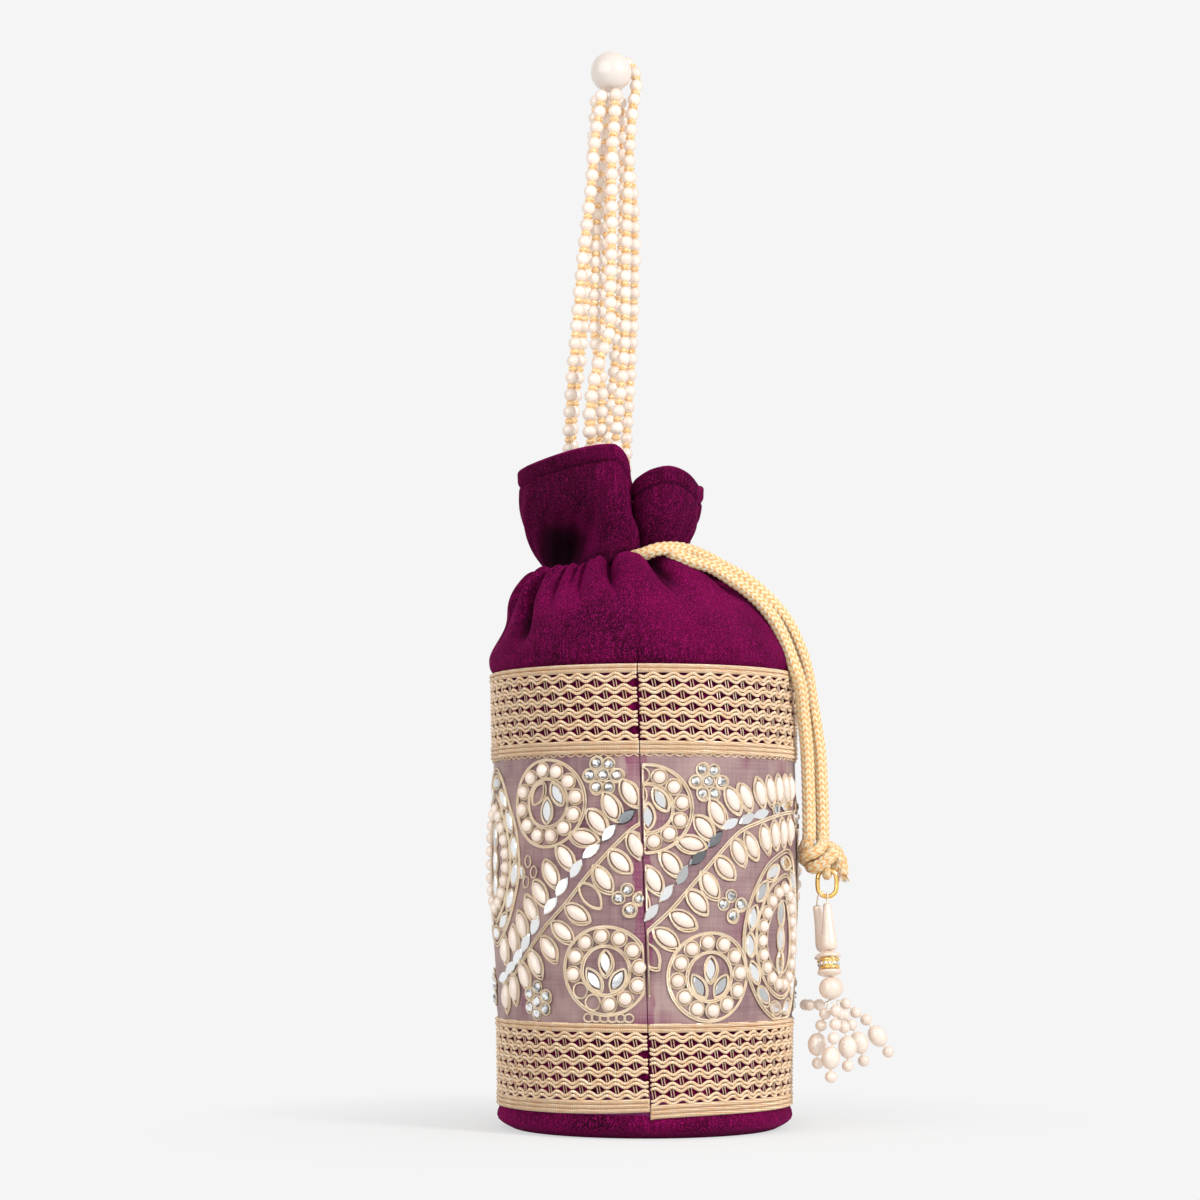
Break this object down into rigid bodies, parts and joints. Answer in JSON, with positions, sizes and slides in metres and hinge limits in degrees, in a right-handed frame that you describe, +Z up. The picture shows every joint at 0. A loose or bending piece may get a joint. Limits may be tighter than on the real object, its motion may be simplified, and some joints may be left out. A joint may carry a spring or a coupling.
{
  "type": "potli bag",
  "caption": "Drawstring pouch with a stiff round body, velvet ruffle, embroidered panel between lace bands, gold cord with bead tassels and a pearl string handle.",
  "frame": {"origin": "centre of the round base on the surface that the bag stands on", "axes": "+Z up, +X out of the front panel, where the cord hangs; the side seams face -Y and +Y"},
  "size_m": [0.134, 0.103, 0.3649],
  "materials": {
    "velvet": "purple cotton velvet with a short upright pile",
    "tissue": "thin mauve-grey tissue, embroidered with gold thread, pearls and mirrors",
    "lace": "woven gold thread lace with open eyes",
    "lining": "smooth purple satin",
    "buckram": "stiffened interlining",
    "board": "plain grey board",
    "gold_cord": "knitted cord of gold yarn",
    "gilt_metal": "bright gilt wire",
    "thread": "fine nylon thread",
    "pearl": "ivory imitation pearl",
    "crystal": "gilt rims round a row of clear rhinestones"
  },
  "bodies": {
    "bag": {"base_cover": "velvet", "base_board": "board", "wall_stiffener": "buckram", "lining": "lining", "velvet_front": "velvet", "velvet_back": "velvet", "tissue_panel_front": "tissue", "tissue_panel_back": "tissue", "top_lace_front": "lace", "top_lace_back": "lace", "bottom_lace_front": "lace", "bottom_lace_back": "lace", "drawcord_in_channel": "gold_cord", "drawcord_tail_outer": "gold_cord", "drawcord_tail_inner": "gold_cord", "drawcord_knot": "gold_cord", "handle_string_1_near": "pearl", "handle_string_1_far": "pearl", "handle_string_2_near": "pearl", "handle_string_2_far": "pearl", "handle_string_3_near": "pearl", "handle_string_3_far": "pearl", "handle_string_4_near": "pearl", "handle_string_4_far": "pearl", "handle_pearl": "pearl"},
    "ring": {"tassel_ring": "gilt_metal"},
    "near_tassel": {"near_tassel_thread": "thread", "near_bead_string_1": "pearl", "near_bead_string_2": "pearl", "near_bead_string_3": "pearl"},
    "near_drop_bead_body": {"near_drop_bead": "pearl"},
    "near_upper_cap_body": {"near_upper_cap": "pearl"},
    "near_crystal_spacer_body": {"near_crystal_spacer": "crystal"},
    "near_lower_cap_body": {"near_lower_cap": "pearl"},
    "near_round_pearl_body": {"near_round_pearl": "pearl"},
    "far_tassel": {"far_tassel_thread": "thread", "far_bead_string_1": "pearl", "far_bead_string_2": "pearl", "far_bead_string_3": "pearl"},
    "far_drop_bead_body": {"far_drop_bead": "pearl"},
    "far_upper_cap_body": {"far_upper_cap": "pearl"},
    "far_crystal_spacer_body": {"far_crystal_spacer": "crystal"},
    "far_lower_cap_body": {"far_lower_cap": "pearl"},
    "far_round_pearl_body": {"far_round_pearl": "pearl"}
  },
  "joints": [
    {"name": "ring_swing", "type": "hinge", "parent": "bag", "child": "ring", "pos_m": [0.0603, -0.008, 0.08465], "axis": [1, 0, 0], "range_deg": [-45, 45]},
    {"name": "near_tassel_swing", "type": "hinge", "parent": "ring", "child": "near_tassel", "pos_m": [0.0603, -0.008, 0.07565], "axis": [0, -1, 0], "range_deg": [-3, 30]},
    {"name": "near_drop_bead_spin", "type": "hinge", "parent": "near_tassel", "child": "near_drop_bead_body", "pos_m": [0.0601, -0.00985, 0.0734], "axis": [0.02, -0.165, -0.9861], "continuous": true},
    {"name": "near_upper_cap_spin", "type": "hinge", "parent": "near_tassel", "child": "near_upper_cap_body", "pos_m": [0.0601, -0.00985, 0.0734], "axis": [0.02, -0.165, -0.9861], "continuous": true},
    {"name": "near_crystal_spacer_spin", "type": "hinge", "parent": "near_tassel", "child": "near_crystal_spacer_body", "pos_m": [0.0601, -0.00985, 0.0734], "axis": [0.02, -0.165, -0.9861], "continuous": true},
    {"name": "near_lower_cap_spin", "type": "hinge", "parent": "near_tassel", "child": "near_lower_cap_body", "pos_m": [0.0601, -0.00985, 0.0734], "axis": [0.02, -0.165, -0.9861], "continuous": true},
    {"name": "near_round_pearl_spin", "type": "hinge", "parent": "near_tassel", "child": "near_round_pearl_body", "pos_m": [0.0601, -0.00985, 0.0734], "axis": [0.02, -0.165, -0.9861], "continuous": true},
    {"name": "far_tassel_swing", "type": "hinge", "parent": "ring", "child": "far_tassel", "pos_m": [0.05807, -0.008, 0.07657], "axis": [0, -1, 0], "range_deg": [0, 30]},
    {"name": "far_drop_bead_spin", "type": "hinge", "parent": "far_tassel", "child": "far_drop_bead_body", "pos_m": [0.0569, -0.00615, 0.0727], "axis": [0.19, 0.165, -0.9678], "continuous": true},
    {"name": "far_upper_cap_spin", "type": "hinge", "parent": "far_tassel", "child": "far_upper_cap_body", "pos_m": [0.0569, -0.00615, 0.0727], "axis": [0.19, 0.165, -0.9678], "continuous": true},
    {"name": "far_crystal_spacer_spin", "type": "hinge", "parent": "far_tassel", "child": "far_crystal_spacer_body", "pos_m": [0.0569, -0.00615, 0.0727], "axis": [0.19, 0.165, -0.9678], "continuous": true},
    {"name": "far_lower_cap_spin", "type": "hinge", "parent": "far_tassel", "child": "far_lower_cap_body", "pos_m": [0.0569, -0.00615, 0.0727], "axis": [0.19, 0.165, -0.9678], "continuous": true},
    {"name": "far_round_pearl_spin", "type": "hinge", "parent": "far_tassel", "child": "far_round_pearl_body", "pos_m": [0.0569, -0.00615, 0.0727], "axis": [0.19, 0.165, -0.9678], "continuous": true}
  ]
}
